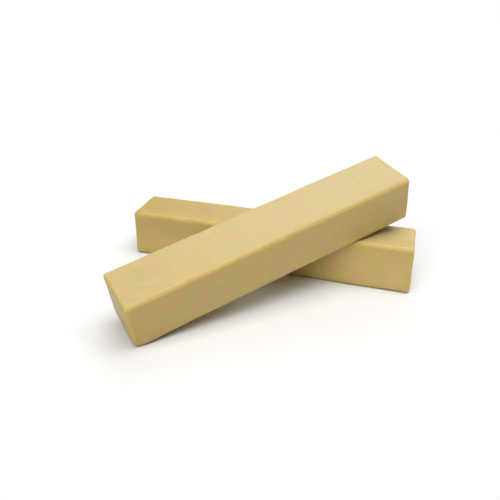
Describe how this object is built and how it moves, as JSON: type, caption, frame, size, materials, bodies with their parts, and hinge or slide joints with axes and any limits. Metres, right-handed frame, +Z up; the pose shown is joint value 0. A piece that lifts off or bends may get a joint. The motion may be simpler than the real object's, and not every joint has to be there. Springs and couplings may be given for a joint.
{
  "type": "clay bar",
  "caption": "Square-sided tan clay bars for car paint cleaning, laid crosswise, the upper one leaning on the lower one's long edge.",
  "frame": {"origin": "centre of the lower bar's flat underside, on the surface that the pair lies on", "axes": "+X along the lower bar, +Z up, +Y across the lower bar towards the upper bar's raised end"},
  "size_m": [0.168, 0.1447, 0.0662],
  "materials": {
    "clay": "matte"
  },
  "bodies": {
    "lower_bar": {"lower_bar": "clay"},
    "upper_bar": {"upper_bar": "clay"}
  },
  "joints": [
    {"name": "upper_bar_lift", "type": "slide", "parent": "lower_bar", "child": "upper_bar", "axis": [0, 0, 1], "range_m": [0, 0.06]}
  ]
}
